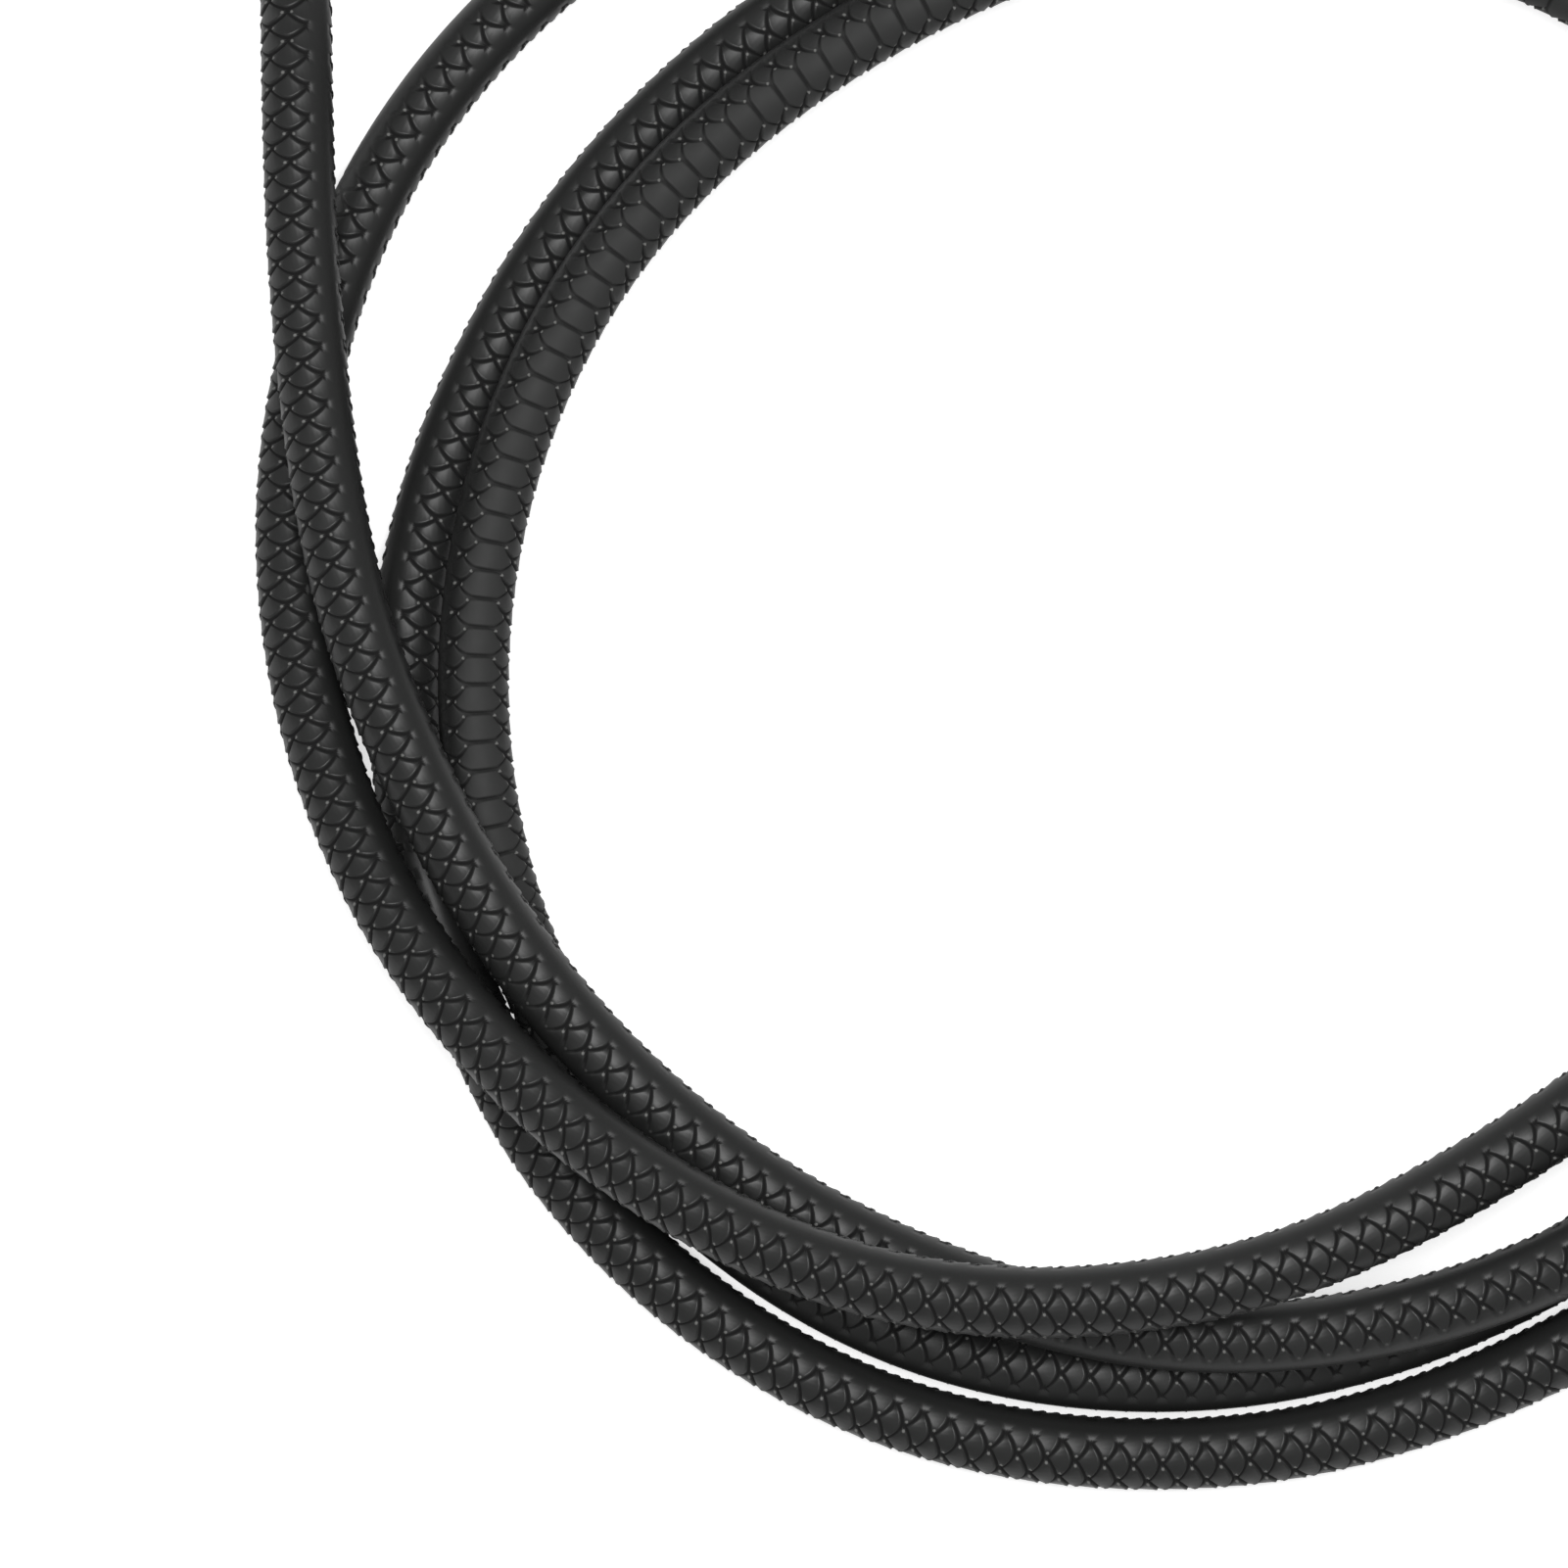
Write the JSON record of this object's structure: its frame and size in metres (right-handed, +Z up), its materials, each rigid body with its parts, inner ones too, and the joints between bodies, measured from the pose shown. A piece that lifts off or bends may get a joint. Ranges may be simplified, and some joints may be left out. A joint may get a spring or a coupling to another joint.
{
  "type": "charging cable",
  "caption": "Loose hand-wound coil of round scale-textured black charging cable, with a type A plug on one end and a type C plug on the other.",
  "frame": {"origin": "middle of the footprint of the whole cable, on the surface that it lies on", "axes": "+Z up, square to the surface; both plugs point along +Y; type A plug on the -X side, type C plug on the +X side"},
  "size_m": [0.1218, 0.1444, 0.0128],
  "materials": {
    "jacket": "matt elastomer with a raised scale pattern",
    "plug_mould": "fine matt moulding",
    "relief_mould": "soft matt moulding",
    "shell_steel": "nickel-plated sheet",
    "can_steel": "tin-plated sheet",
    "insulator_black": "glass-filled moulding",
    "contact_gold": "gold flash",
    "cover_white": "milky moulding",
    "board_green": "solder mask",
    "chip_black": "chip resistor body",
    "wire_red": "extruded insulation",
    "wire_black": "extruded insulation",
    "wire_green": "extruded insulation",
    "wire_white": "extruded insulation"
  },
  "bodies": {
    "root": {"jacket_coil": "jacket", "jacket_tail_a": "jacket", "jacket_tail_c": "jacket", "power_wire": "wire_red", "ground_wire": "wire_black", "data_plus_wire": "wire_green", "data_minus_wire": "wire_white", "a_strain_relief": "relief_mould", "a_housing": "plug_mould", "a_rear_shield": "can_steel", "a_inner_cover": "cover_white", "a_shell": "shell_steel", "a_tongue": "insulator_black", "a_contacts": "contact_gold", "c_strain_relief": "relief_mould", "c_housing": "plug_mould", "c_shield_can": "can_steel", "c_board": "board_green", "c_resistor": "chip_black", "c_shell": "shell_steel", "c_insulator": "insulator_black", "c_upper_contacts": "contact_gold", "c_lower_contacts": "contact_gold", "c_latch": "can_steel", "c_ground_springs": "can_steel"}
  },
  "joints": []
}
